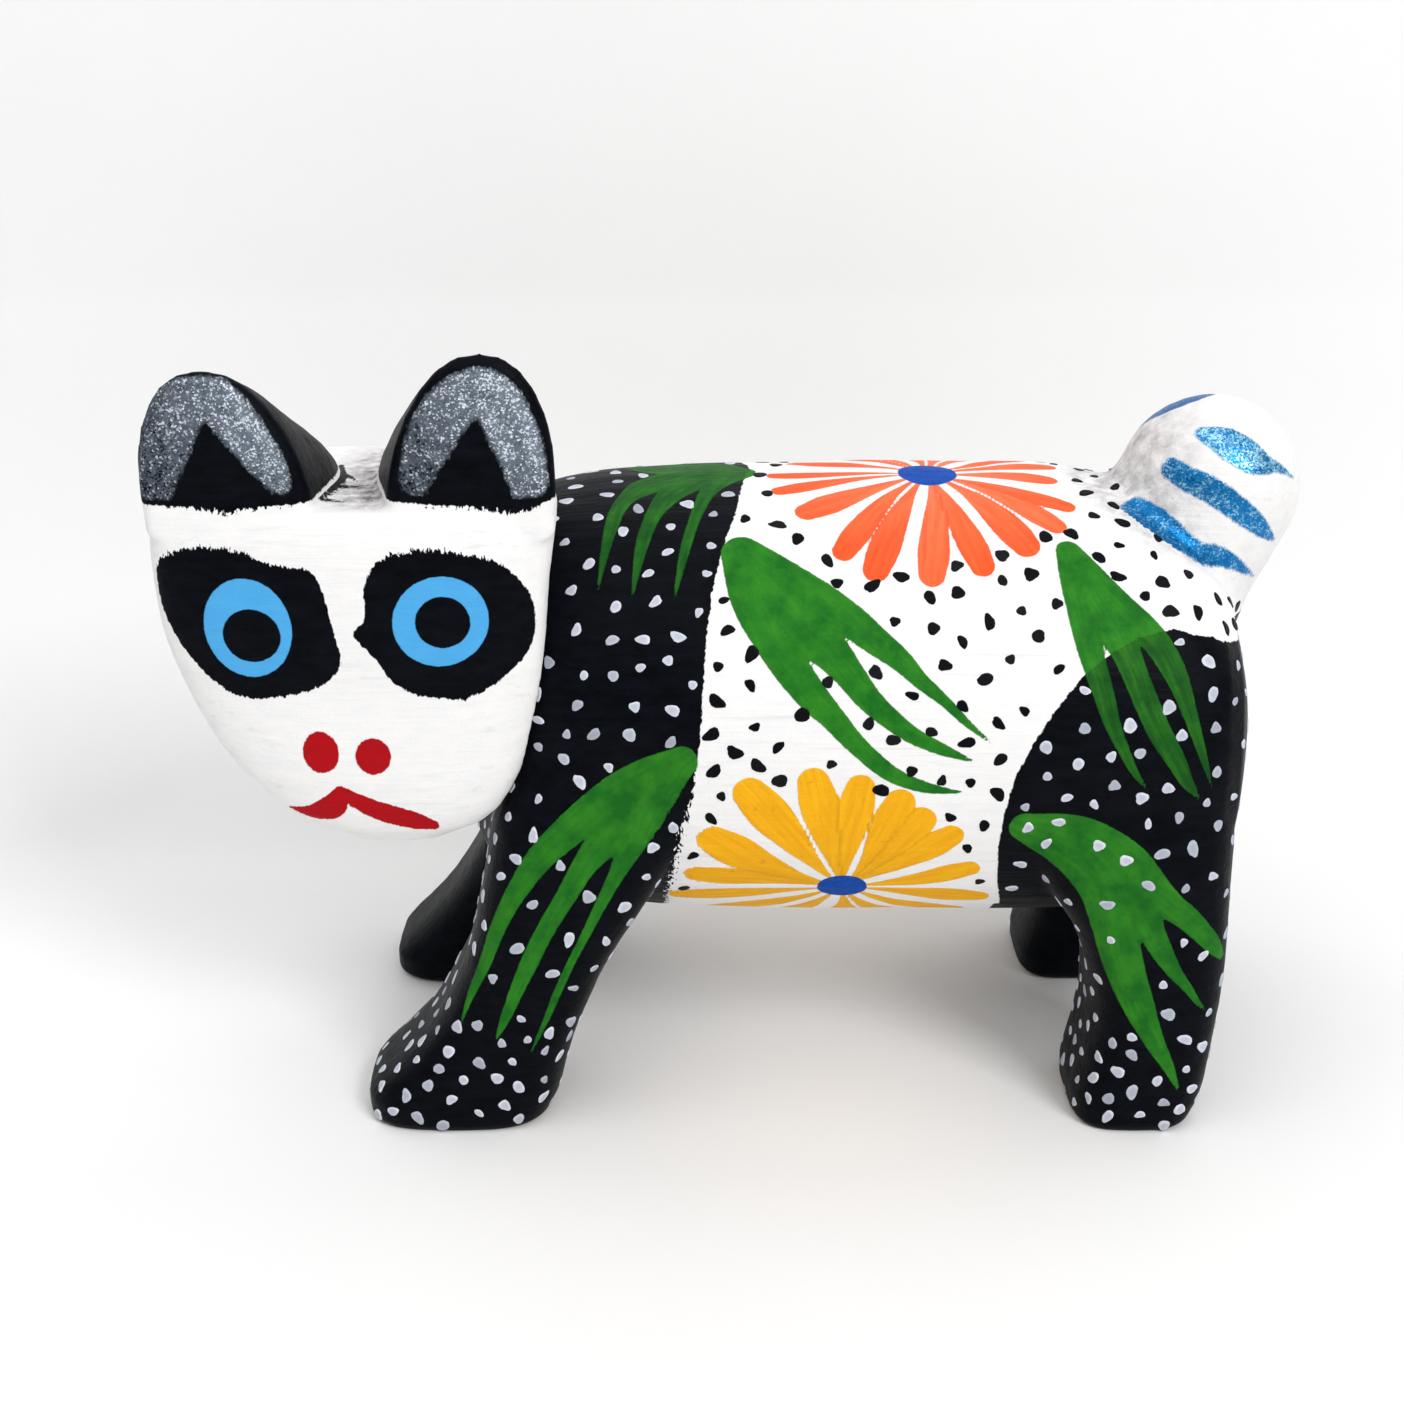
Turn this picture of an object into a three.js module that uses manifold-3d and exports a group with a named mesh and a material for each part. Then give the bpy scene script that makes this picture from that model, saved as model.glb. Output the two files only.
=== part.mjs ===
// A small carved and painted wooden panda that stands on four legs with its head turned to look
// out over its left flank. Nine carved pieces of copal wood are butted together on flat joint
// faces and held by whittled pegs glued into blind bores: the torso, the head, two ears, a ball
// tail and four lower legs.
//
// Millimetres, +Z up. The body's length runs along X, with the head at -X and the tail at +X.
// The face looks along -Y. The soles stand on Z = 0 and the origin is under the figure's middle.

import * as THREE from "three";
import { mergeVertices } from "three/addons/utils/BufferGeometryUtils.js";
import Module from "manifold-3d";

// ---- driving dimensions -------------------------------------------------------------------

const SEAM = 0.3; // open width of every glued joint
const PEG_SLACK = 0.25; // a bore's radius over its peg's
const LEG_JOINT_Z = 17.0; // height of the flat joint between torso and lower legs
const EAR_JOINT_Z = 68.3; // height of the flat top of the head, which the ears stand on

// The head joint is a flat cut across the neck: a point on it, and its normal into the head.
const NECK_JOINT = new THREE.Vector3(-20.0, -24, 50);
const INTO_HEAD = new THREE.Vector3(-1, -0.25, 0.2);

// The tail joint is a flat cut across the top corner of the rump, described the same way.
const TAIL_JOINT = new THREE.Vector3(46.4, 0, 59.4);
const INTO_TAIL = new THREE.Vector3(0.69, 0, 0.72);

// Torso, head and tail.
const TORSO_ROUNDNESS = 2.15; // superellipse exponents: 2 is an ellipse, more is squarer
const HEAD_ROUNDNESS = 2.6;
const FACE_EDGE = 4.2; // depth over which the flat face rounds into the sides of the head
const TAIL_CENTRE = new THREE.Vector3(49.4, 0, 64.8);
const TAIL_AXIS = new THREE.Vector3(0.437, 0, 0.9);
const TAIL_RADIUS = 9.4;

// Legs, all measured on the left side (-Y) and mirrored for the right, which stands further forward.
const LEG_ROUNDNESS = 3.6;
const RIGHT_LEG_LEAD = 1.1;

// Ears.
const EAR_CENTRE_Z = 66;
const EAR_ROUNDNESS = 2.25;
const EAR_LEAN_BACK = 0.03; // mm per mm of height
const EAR_ROOT = 1.5; // depth of an ear's form below EAR_CENTRE_Z

// Section tables. Each row is one cross-section, and the form runs smoothly through them.

// x, near side y, far side y, underside z, top z
const TORSO_SECTIONS = [
  [-31.0, -8.0, 3.0, 32.0, 51.0],
  [-29.6, -13.5, 8.0, 28.0, 56.5],
  [-27.0, -17.2, 12.4, 24.4, 60.8],
  [-23.0, -20.0, 16.6, 21.4, 63.8],
  [-17.0, -22.2, 20.6, 19.6, 65.2],
  [-9.0, -23.7, 23.4, 18.6, 65.7],
  [4.0, -24.2, 24.2, 18.2, 66.0],
  [20.0, -24.2, 24.2, 18.0, 66.2],
  [32.0, -24.1, 24.1, 18.1, 65.9],
  [40.0, -23.9, 23.9, 18.4, 64.6],
  [45.5, -23.5, 23.5, 18.9, 62.2],
  [48.3, -22.7, 22.7, 20.0, 60.0],
  [50.2, -21.0, 21.0, 22.2, 57.4],
  [51.3, -17.8, 17.8, 25.8, 53.8],
  [51.8, -12.6, 12.6, 31.0, 48.4],
];

// z, left x, right x, front y, back y. The chin is rounder on the side away from the body.
const HEAD_SECTIONS = [
  [32.8, -38.4, -32.6, -20.2, -8.0],
  [33.4, -41.0, -30.0, -21.8, -4.4],
  [35.1, -44.6, -26.8, -23.3, 0.2],
  [38.6, -48.9, -24.0, -24.3, 5.2],
  [43.2, -52.5, -22.0, -24.6, 9.2],
  [49.0, -55.4, -20.8, -24.6, 11.8],
  [55.0, -57.3, -20.1, -24.6, 12.6],
  [60.5, -58.1, -19.6, -24.4, 12.2],
  [64.8, -58.2, -19.1, -24.0, 9.6],
  [67.2, -58.0, -18.8, -23.4, 5.6],
  [68.6, -57.6, -18.9, -22.6, 1.2],
];

// Distance along TAIL_AXIS from TAIL_CENTRE, radius, up to where the round end begins
const TAIL_SECTIONS = [
  [-15.0, 8.0],
  [-12.0, 9.9],
  [-8.0, 9.5],
  [-4.0, 9.5],
  [0.0, TAIL_RADIUS],
];

// z, front x, back x, outer y, inner y
const FORELEG_SECTIONS = [
  [0.0, -39.8, -21.9, -23.8, -8.8],
  [0.7, -40.5, -21.0, -24.4, -8.0],
  [2.8, -40.5, -20.0, -24.6, -7.4],
  [5.5, -37.9, -19.3, -24.5, -7.4],
  [9.5, -34.2, -18.1, -24.5, -7.5],
  [14.0, -31.4, -16.4, -24.4, -7.3],
  [18.5, -29.4, -14.4, -24.3, -6.6],
  [23.0, -28.2, -11.6, -24.2, -5.6],
  [28.0, -27.2, -8.4, -24.1, -4.6],
  [34.0, -26.0, -4.6, -23.8, -4.0],
  [42.0, -22.0, -2.0, -22.6, -4.0],
];
const HINDLEG_SECTIONS = [
  [0.0, 36.2, 47.2, -23.9, -9.6],
  [0.7, 35.5, 48.2, -24.5, -8.8],
  [2.8, 35.5, 49.1, -24.7, -8.1],
  [6.5, 36.4, 49.8, -24.7, -7.7],
  [12.0, 37.1, 50.4, -24.6, -7.4],
  [17.5, 36.6, 50.7, -24.5, -7.0],
  [22.5, 34.6, 50.8, -24.3, -6.4],
  [27.5, 31.2, 50.8, -24.2, -5.6],
  [34.0, 28.0, 50.7, -23.9, -5.0],
  [42.0, 27.4, 49.6, -22.6, -5.0],
];

// y, half width, share of the ear's full height, share of the ear's drift towards the other
const EAR_SECTIONS = [
  [-22.2, 7.5, 0.95, 0.0],
  [-21.6, 8.2, 1.0, 0.0],
  [-19.5, 8.3, 0.94, 0.2],
  [-16.0, 8.4, 0.8, 0.6],
  [-12.0, 8.5, 0.63, 1.0],
  [-8.0, 8.0, 0.46, 1.1],
  [-4.6, 6.4, 0.26, 1.0],
];
// Lean is towards +X per mm of height. The back of an ear drifts towards the other ear by drift.
const EARS = {
  ear_left: { x: -27.0, height: 17.2, lean: 0.09, drift: -2.0 },
  ear_right: { x: -49.9, height: 15.6, lean: -0.13, drift: 0.9 },
};

// Whittled pegs: where the middle lies, the way it points, its length and its radius.
const PEGS = {
  neck_peg: { at: [-22.5, -3, 50], along: [1, 0, 0.12], length: 26, radius: 4 },
  tail_peg: { at: [46.8, 0, 59.9], along: [0.69, 0, 0.724], length: 13, radius: 2.5 },
  ear_left_peg: { at: [-27.3, -15.2, 68.3], along: [0, 0, 1], length: 13, radius: 2 },
  ear_right_peg: { at: [-49.7, -15.2, 68.3], along: [0, 0, 1], length: 12, radius: 2 },
  foreleg_left_peg: { at: [-22.6, -15.6, 17], along: [0.42, 0, 1], length: 20, radius: 3 },
  foreleg_right_peg: { at: [-22.6, 15.6, 17], along: [0.42, 0, 1], length: 20, radius: 3 },
  hindleg_left_peg: { at: [42.8, -15.8, 17], along: [0, 0, 1], length: 20, radius: 3 },
  hindleg_right_peg: { at: [42.8, 15.8, 17], along: [0, 0, 1], length: 20, radius: 3 },
};
const PEG_SIDES = 12;
const PEG_CHAMFER = 0.6;

// Resolution.
const TORSO_SIDES = 48;
const HEAD_SIDES = 48;
const LEG_SIDES = 32;
const EAR_SIDES = 28;
const TAIL_SIDES = 36;
const CAP_STEPS = 8;
const SECTION_STEP = 2.6; // mm between interpolated sections, at most
const BIG = 200; // side of a trimming block

// ---- finishes -----------------------------------------------------------------------------

const WHITE_PAINT = { color: 0xf2f0ec, roughness: 0.62, metalness: 0 };
const BLACK_PAINT = { color: 0x0b0c12, roughness: 0.45, metalness: 0 };
const RAW_COPAL = { color: 0xd9bd8c, roughness: 0.8, metalness: 0 };

// ---- solids -------------------------------------------------------------------------------

const wasm = await Module();
wasm.setup();

// A closed geometry as a solid that can be joined and cut.
function solid(geometry) {
  const bare = new THREE.BufferGeometry();
  bare.setAttribute("position", geometry.getAttribute("position"));
  bare.setIndex(geometry.getIndex());
  const merged = mergeVertices(bare, 1e-4);
  return new wasm.Manifold(
    new wasm.Mesh({
      numProp: 3,
      vertProperties: merged.getAttribute("position").array,
      triVerts: new Uint32Array(merged.getIndex().array),
    }),
  );
}

// A finished solid as a named mesh.
function piece(name, body, finish) {
  const { vertProperties, triVerts } = body.getMesh();
  const geometry = new THREE.BufferGeometry();
  geometry.setAttribute("position", new THREE.BufferAttribute(vertProperties, 3));
  geometry.setIndex(new THREE.BufferAttribute(triVerts, 1));
  geometry.computeVertexNormals();
  const mesh = new THREE.Mesh(geometry, new THREE.MeshStandardMaterial(finish));
  mesh.name = name;
  return mesh;
}

// The turn that takes an upright (+Y) form onto a direction.
function turnOnto(direction) {
  const upright = new THREE.Vector3(0, 1, 0);
  return new THREE.Quaternion().setFromUnitVectors(upright, direction.clone().normalize());
}

// Skins a stack of rings, each a list of the same number of points, and closes both ends.
function loft(rings) {
  const sides = rings[0].length;
  const last = (rings.length - 1) * sides;
  const points = rings.flat();
  const faces = [];
  for (let r = 0; r + 1 < rings.length; r++) {
    for (let k = 0; k < sides; k++) {
      const a = r * sides + k;
      const b = r * sides + ((k + 1) % sides);
      faces.push(a, b, b + sides, a, b + sides, a + sides);
    }
  }
  const middle = (ring) => ring.reduce((sum, p) => sum.add(p), new THREE.Vector3()).divideScalar(sides);
  const startCentre = points.push(middle(rings[0])) - 1;
  const endCentre = points.push(middle(rings.at(-1))) - 1;
  for (let k = 0; k < sides; k++) {
    const next = (k + 1) % sides;
    faces.push(startCentre, next, k, endCentre, last + k, last + next);
  }
  const geometry = new THREE.BufferGeometry().setFromPoints(points);
  geometry.setIndex(faces);
  return geometry;
}

// Rows of numbers run smoothly through a table, along its first column.
function smoothRows(table) {
  const places = table.map((row) => row[0]);
  const size = table[0].length;
  const curve = new THREE.CubicInterpolant(places, table.flat(), size, new Float64Array(size));
  const rows = [];
  places.slice(1).forEach((end, i) => {
    const start = places[i];
    const steps = Math.ceil((end - start) / SECTION_STEP);
    for (let s = 0; s < steps; s++) {
      rows.push([...curve.evaluate(start + ((end - start) * s) / steps)]);
    }
  });
  rows.push([...table.at(-1)]);
  return rows;
}

// The points of a superellipse, as offsets from -1 to 1 along its two axes.
function superellipse(sides, roundness) {
  const power = 2 / roundness;
  const bend = (v) => Math.sign(v) * Math.abs(v) ** power;
  return Array.from({ length: sides }, (_, k) => {
    const angle = (2 * Math.PI * k) / sides;
    return [bend(Math.cos(angle)), bend(Math.sin(angle))];
  });
}

const half = (low, high) => [(low + high) / 2, (high - low) / 2];


// A trimming block whose flat face passes through a point, on the side that the normal points to.
function halfSpace(point, normal) {
  const block = new THREE.BoxGeometry(BIG, BIG, BIG);
  block.translate(0, BIG / 2, 0);
  block.applyQuaternion(turnOnto(normal));
  block.translate(point.x, point.y, point.z);
  return solid(block);
}

// The solid on the normal's side of a joint plane, set back from it by half the seam.
function trim(body, point, normal, setBack = SEAM / 2) {
  const unit = normal.clone().normalize();
  return body.intersect(halfSpace(point.clone().addScaledVector(unit, setBack), unit));
}

// ---- carved forms, before they are cut apart ----------------------------------------------

function torsoForm() {
  const outline = superellipse(TORSO_SIDES, TORSO_ROUNDNESS);
  const rings = smoothRows(TORSO_SECTIONS).map(([x, y0, y1, z0, z1]) => {
    const [cy, hy] = half(y0, y1);
    const [cz, hz] = half(z0, z1);
    return outline.map(([u, v]) => new THREE.Vector3(x, cy + u * hy, cz + v * hz));
  });
  return solid(loft(rings));
}

function legForm(table, side) {
  const outline = superellipse(LEG_SIDES, LEG_ROUNDNESS);
  const rings = smoothRows(table).map(([z, x0, x1, y0, y1]) => {
    const [cx, hx] = half(x0, x1);
    const [cy, hy] = half(y0, y1);
    return outline.map(([u, v]) => new THREE.Vector3(cx + u * hx, cy + v * hy, z));
  });
  const left = solid(loft(rings));
  return side === "left" ? left : left.mirror([0, 1, 0]).translate([-RIGHT_LEG_LEAD, 0, 0]);
}

// The head is widest just behind its flat face. It can be made a little too large all round.
function headForm(growth = 0) {
  const outline = superellipse(HEAD_SIDES, HEAD_ROUNDNESS);
  const rings = smoothRows(HEAD_SECTIONS).map(([z, x0, x1, y0, y1]) => {
    const [cx, hx] = half(x0, x1);
    const widest = y0 + FACE_EDGE;
    return outline.map(([u, v]) => {
      const depth = v < 0 ? FACE_EDGE : y1 - widest;
      return new THREE.Vector3(cx + u * (hx + growth), widest + v * (depth + growth), z);
    });
  });
  rings[0].forEach((p) => (p.z -= growth));
  rings.at(-1).forEach((p) => (p.z += growth));
  return solid(loft(rings));
}

function tailForm() {
  const shaft = smoothRows(TAIL_SECTIONS).map(([along, radius]) => new THREE.Vector2(radius, along));
  const cap = Array.from({ length: CAP_STEPS }, (_, k) => {
    const angle = ((k + 1) / CAP_STEPS) * (Math.PI / 2);
    return new THREE.Vector2(TAIL_RADIUS * Math.cos(angle), TAIL_RADIUS * Math.sin(angle));
  });
  cap.at(-1).x = 0;
  const foot = new THREE.Vector2(0, shaft[0].y);
  const turned = new THREE.LatheGeometry([foot, ...shaft, ...cap], TAIL_SIDES);
  turned.applyQuaternion(turnOnto(TAIL_AXIS));
  turned.translate(...TAIL_CENTRE);
  return solid(turned);
}

function earForm({ x, height, lean, drift }) {
  const outline = superellipse(EAR_SIDES, EAR_ROUNDNESS);
  const rings = smoothRows(EAR_SECTIONS).map(([y, halfWidth, share, drifted]) =>
    outline.map(([u, v]) => {
      const rise = u > 0 ? u * height * share : u * EAR_ROOT;
      const middle = x + drift * drifted + lean * rise;
      return new THREE.Vector3(middle + v * halfWidth, y + EAR_LEAN_BACK * rise, EAR_CENTRE_Z + rise);
    }),
  );
  return solid(loft(rings));
}

// ---- pegs and their bores -----------------------------------------------------------------

function pegSolid({ at, along, length, radius }, slack = 0) {
  const r = radius + slack;
  const l = length / 2 + slack;
  const profile = [
    new THREE.Vector2(0, -l),
    new THREE.Vector2(r - PEG_CHAMFER, -l),
    new THREE.Vector2(r, PEG_CHAMFER - l),
    new THREE.Vector2(r, l - PEG_CHAMFER),
    new THREE.Vector2(r - PEG_CHAMFER, l),
    new THREE.Vector2(0, l),
  ];
  const peg = new THREE.LatheGeometry(profile, PEG_SIDES);
  peg.applyQuaternion(turnOnto(new THREE.Vector3(...along)));
  peg.translate(...at);
  return solid(peg);
}

const bores = Object.values(PEGS).map((peg) => pegSolid(peg, PEG_SLACK));
const bored = (body) => bores.reduce((rest, bore) => rest.subtract(bore), body);

// ---- cutting the forms apart --------------------------------------------------------------

const UP = new THREE.Vector3(0, 0, 1);
const DOWN = new THREE.Vector3(0, 0, -1);
const legJoint = new THREE.Vector3(0, 0, LEG_JOINT_Z);
const earJoint = new THREE.Vector3(0, 0, EAR_JOINT_Z);

const legs = {
  foreleg_left: legForm(FORELEG_SECTIONS, "left"),
  foreleg_right: legForm(FORELEG_SECTIONS, "right"),
  hindleg_left: legForm(HINDLEG_SECTIONS, "left"),
  hindleg_right: legForm(HINDLEG_SECTIONS, "right"),
};
const ears = Object.fromEntries(Object.entries(EARS).map(([name, ear]) => [name, earForm(ear)]));
const tail = tailForm();

function torsoSolid() {
  const log = trim(torsoForm(), NECK_JOINT, INTO_HEAD.clone().negate());
  const haunched = Object.values(legs).reduce((sum, leg) => sum.add(leg), log);
  const headRoom = trim(headForm(SEAM), NECK_JOINT, INTO_HEAD, -SEAM / 2);
  const seated = trim(haunched, legJoint, UP).subtract(headRoom);
  return trim(seated.add(tail), TAIL_JOINT, INTO_TAIL.clone().negate());
}

function headSolid() {
  const whole = Object.values(ears).reduce((sum, ear) => sum.add(ear), headForm());
  return trim(trim(whole, NECK_JOINT, INTO_HEAD), earJoint, DOWN);
}

// ---- the figure ---------------------------------------------------------------------------

const figure = new THREE.Group();
figure.add(piece("torso", bored(torsoSolid()), WHITE_PAINT));
figure.add(piece("head", bored(headSolid()), WHITE_PAINT));
figure.add(piece("tail", bored(trim(tail, TAIL_JOINT, INTO_TAIL)), WHITE_PAINT));
for (const [name, ear] of Object.entries(ears)) {
  figure.add(piece(name, bored(trim(ear, earJoint, UP)), BLACK_PAINT));
}
for (const [name, leg] of Object.entries(legs)) {
  figure.add(piece(name, bored(trim(leg, legJoint, DOWN)), BLACK_PAINT));
}
for (const [name, peg] of Object.entries(PEGS)) {
  figure.add(piece(name, pegSolid(peg), RAW_COPAL));
}


// Stand the figure over the origin.
const extent = new THREE.Box3().setFromObject(figure);
const middle = extent.getCenter(new THREE.Vector3());
figure.children.forEach((mesh) => mesh.geometry.translate(-middle.x, -middle.y, -extent.min.z));

export default figure;
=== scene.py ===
"""The looks of the small painted wooden panda: hand-carved skin, brushed paint, dots and a studio."""

import math
import random

import bmesh
import bpy
import numpy as np
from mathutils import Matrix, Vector, noise


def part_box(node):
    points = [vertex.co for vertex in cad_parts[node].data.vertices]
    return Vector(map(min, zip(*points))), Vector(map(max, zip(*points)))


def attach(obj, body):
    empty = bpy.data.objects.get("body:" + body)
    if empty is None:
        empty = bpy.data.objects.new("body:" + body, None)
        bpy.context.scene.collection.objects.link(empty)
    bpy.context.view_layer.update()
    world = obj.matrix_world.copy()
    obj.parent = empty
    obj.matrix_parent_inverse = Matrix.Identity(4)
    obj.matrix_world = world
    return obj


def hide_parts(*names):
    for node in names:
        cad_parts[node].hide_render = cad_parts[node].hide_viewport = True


MM = 0.001
SEED = 11
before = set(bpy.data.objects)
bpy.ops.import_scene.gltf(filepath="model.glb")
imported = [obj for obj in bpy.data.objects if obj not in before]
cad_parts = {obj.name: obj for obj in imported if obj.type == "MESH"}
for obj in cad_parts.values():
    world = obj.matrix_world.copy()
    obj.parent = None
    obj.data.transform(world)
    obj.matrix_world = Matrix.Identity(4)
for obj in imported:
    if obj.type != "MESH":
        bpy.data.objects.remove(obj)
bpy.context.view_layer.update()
rng = random.Random(SEED)

# ---- dimensions, all in millimetres in the part's own frame ----

VOXEL = 0.35  # cell of the carved skin
JOINT_FILL = 0.2  # each carved piece is grown by this, so that its open glue joints close
DRAW_BACK = 0.06  # and the finished skin is drawn back by this, which leaves a hairline at the neck
SOFTEN_ROUNDS = 10
SOFTEN_IN, SOFTEN_OUT = 0.55, -0.5  # the two steps of each round, which between them keep the size
LUMPS = 0.16  # height of the broad lumps that knife and sandpaper leave
RIPPLES = 0.03  # and of the ripples along the grain
LEGS = ("foreleg_left", "foreleg_right", "hindleg_left", "hindleg_right")
EARS = ("ear_left", "ear_right")
PEGS = tuple(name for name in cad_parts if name.endswith("_peg"))

# Each block is carved as one skin: its main piece, what is glued to it, and the planes of the joints.
BLOCKS = (
    ("torso", (*LEGS, "tail"), (((0, 0, 17.0), (0, 0, 1)), ((46.2, 0, 59.4), (0.69, 0, 0.72)))),
    ("head", EARS, (((0, 0, 68.8), (0, 0, 1)),)),
)
TAIL_ROOT = Vector((45.6, 0, 59.8))  # the fillet of filler and paint round the tail's root
TAIL_AXIS = Vector((0.69, 0, 0.72)).normalized()
FILLET_ROUNDS = 50
FILLET_HEIGHT = 2.4  # how far it reaches to each side of the joint
FILLET_RADII = (14, 11)  # it fades out between these distances from the tail's axis
FILLET_LOW_END = (49, 53)  # and between these heights over the ground

LOG_RADIUS = 24.1
LOG_AXIS_Z = 42.1
RUMP_TURN = (44, 50)  # from here to here the body chart goes over from angles to heights
LEG_BLACK_X = (-10, 26.5)  # the legs' black runs on over the torso ahead of and behind these,
LEG_BLACK_TOP = 23  # below this height
LEG_BLACK_INNER = 7  # and no nearer to the middle than this

# Painted strokes. Each row is two chart coordinates and a half width.
# On the body the chart is x and the distance round the log from its top line, + towards the
# near flank. On the legs and the face it is x and z. On the crown of the head it is x and y.
BODY_LEAF = (
    (
        (-0.6, 15.5, 2.05), (3.7, 18.7, 2.1), (7.6, 21.3, 1.95), (10.4, 23.2, 1.65), (12.5, 24.9, 1.4),
        (15.1, 26.9, 1.1), (17, 28.8, 0.8), (19.4, 30.8, 0.56), (21.7, 33, 0.38), (24.4, 35.2, 0.06),
    ),
    (
        (-0.6, 15.6, 2.1), (2.5, 20.2, 2.6), (5.8, 23.9, 2.3), (8.2, 26.1, 1.85), (9.9, 28.1, 1.5),
        (11.9, 30.6, 1.25), (13.9, 32.4, 1.05), (16.3, 34.2, 0.85), (19.4, 35.7, 0.6), (22.4, 36.9, 0.12),
    ),
    (
        (-0.6, 15.8, 2.1), (0.6, 20.6, 2.4), (2.5, 24.9, 1.95), (4.5, 28, 1.75), (6.4, 30.4, 1.55),
        (8.2, 32.3, 1.25), (11, 35.4, 1), (14.3, 38.2, 0.85), (17.8, 39.7, 0.6), (21.4, 40.3, 0.12),
    ),
)
RUMP_LEAF = (
    (
        (32.3, 15.3, 1.35), (32.7, 18.5, 1.6), (33.2, 22, 1.55), (33.7, 25, 1.4), (34.2, 27.2, 1.2),
        (35.1, 30, 1.05), (36.1, 33.1, 0.8), (37.5, 36.1, 0.55), (38.7, 38.3, 0.35), (40.2, 40.3, 0.06),
    ),
    (
        (32.3, 15.3, 1.35), (33.9, 19.1, 2), (35.7, 22.7, 1.95), (37.3, 25.8, 1.5), (38.5, 28.7, 1.3),
        (39.7, 31.5, 1.25), (41.1, 34.4, 1.15), (42.7, 37, 0.95), (44, 39.4, 0.65), (45.4, 41.3, 0.12),
    ),
    (
        (32.3, 15.3, 1.35), (34.2, 17.8, 1.4), (36.6, 20.8, 1.5), (38.8, 23, 1.55), (40.6, 25, 1.45),
        (41.9, 27.1, 1.3), (42.9, 29.3, 1.05), (43.8, 31.9, 0.8), (44.8, 34.8, 0.55), (45.8, 37.7, 0.3),
        (46.6, 40.1, 0.06),
    ),
)
BAND_LEAF = (
    (
        (-0.5, -0.8, 1.6), (-5, 0.5, 2.4), (-9.6, 3, 2.1), (-12.6, 7, 1), (-13.9, 12, 0.7),
        (-15, 19.3, 0.08),
    ),
    (
        (-0.5, 0.2, 1.6), (-4, 1.8, 2.2), (-7.2, 5, 1.7), (-9.4, 9.5, 0.9), (-10.7, 14.5, 0.65),
        (-11.6, 20.5, 0.08),
    ),
    (
        (-0.4, 0.3, 1.5), (-2.3, 2.3, 1.6), (-3.9, 5.5, 0.95), (-5.3, 10.5, 0.6), (-6.4, 15.5, 0.5),
        (-7.4, 20.8, 0.08),
    ),
)
SHOULDER_LEAF = (
    (
        (-6.6, 43, 1.55), (-10.6, 40.6, 2.2), (-15, 37.7, 1.9), (-18.7, 34.6, 1.6), (-21.6, 31.5, 1.3),
        (-24.3, 27, 0.92), (-25.9, 23.4, 0.75), (-27.2, 19.8, 0.58), (-28.8, 16.1, 0.34),
        (-29.9, 13, 0.06),
    ),
    (
        (-6.6, 42.8, 1.55), (-10.4, 39, 2.4), (-13.6, 35.2, 2), (-16.4, 31.7, 1.3), (-18.6, 27.9, 1.05),
        (-20.8, 24, 0.95), (-22.4, 20.6, 0.92), (-24, 16.9, 0.72), (-25.3, 13.6, 0.48),
        (-26.2, 11.5, 0.08),
    ),
    (
        (-6.8, 42.4, 1.4), (-9.2, 38.6, 1.75), (-11.4, 34.4, 1.5), (-13.2, 30.6, 0.85),
        (-14.9, 27.2, 0.62), (-16.4, 24, 0.5), (-18.2, 20.3, 0.42), (-19.7, 16.8, 0.42), (-21, 13.5, 0.3),
        (-22.6, 9.8, 0.06),
    ),
)
HIND_LEAF = (
    (
        (28.1, 35.5, 1.65), (31.1, 34.1, 2.4), (34.2, 32.4, 2.9), (36.5, 29.2, 2.7), (37.8, 24.9, 2.35),
        (38.7, 21.4, 2.1), (39.7, 18.3, 1.9), (40.8, 15.7, 1.65), (41.9, 13.2, 1.3), (43.2, 10.6, 0.95),
        (44.6, 8.1, 0.6), (45.9, 5.2, 0.08),
    ),
    (
        (28.1, 35.5, 1.65), (33, 34.2, 2.2), (37.2, 30.6, 2.7), (40, 27, 1.9), (41.6, 24.1, 1.35),
        (42.9, 21.7, 1.1), (44.3, 19.5, 0.75), (45.8, 17.6, 0.5), (47, 15.9, 0.3), (48, 14.7, 0.08),
    ),
    (
        (28.1, 35.6, 1.6), (33.4, 34.9, 2), (38.2, 32, 2.3), (41.2, 29, 1.85), (43.2, 27.1, 1.5),
        (45, 25.7, 1.3), (46.8, 23.9, 1.1), (48.3, 22.1, 0.85), (49.4, 20.5, 0.35),
    ),
)

# Flowers: centre, its two radii, and for each petal the tip's place and the half width there.
TOP_FLOWER = ((19.2, 1.2), (3.1, 3.4))
TOP_PETALS = (
    (2.2, 1.2, 0.8), (2.6, 5.8, 0.95), (5.1, 10.3, 1.35), (9, 16.4, 1.2), (12.3, 18.9, 1.35),
    (18.3, 19.5, 1.35), (23.8, 18.3, 1.25), (28.8, 15.9, 1.45), (32.2, 12.6, 1.15), (33.7, 8.9, 1),
    (32.8, 2.6, 1.35), (4.6, -5.4, 1.2), (8, -11.6, 1.3), (12.6, -15.6, 1.3), (17.4, -17.4, 1.35),
    (22.8, -16.8, 1.3), (27.8, -13.8, 1.3), (31.4, -9, 1.2), (33.4, -3.4, 1.2),
)
LOW_FLOWER = ((10, 53.9), (2.6, 2.4))
LOW_PETALS = (
    (-8.1, 57, 1.4), (-6.4, 51.3, 1.35), (-4.9, 45.3, 1.9), (-0.8, 39, 1.9), (6.2, 37.6, 1.75),
    (11.4, 38.3, 1.6), (15.9, 40, 1.7), (18.4, 42.2, 1.7), (21.7, 44.7, 1.5), (24, 50.1, 1.2),
    (25.6, 56.4, 1.35), (23.4, 63, 1.6), (18, 68.4, 1.7), (10.6, 70.6, 1.7), (3, 69.2, 1.7), (-4, 64, 1.7),
)
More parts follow.
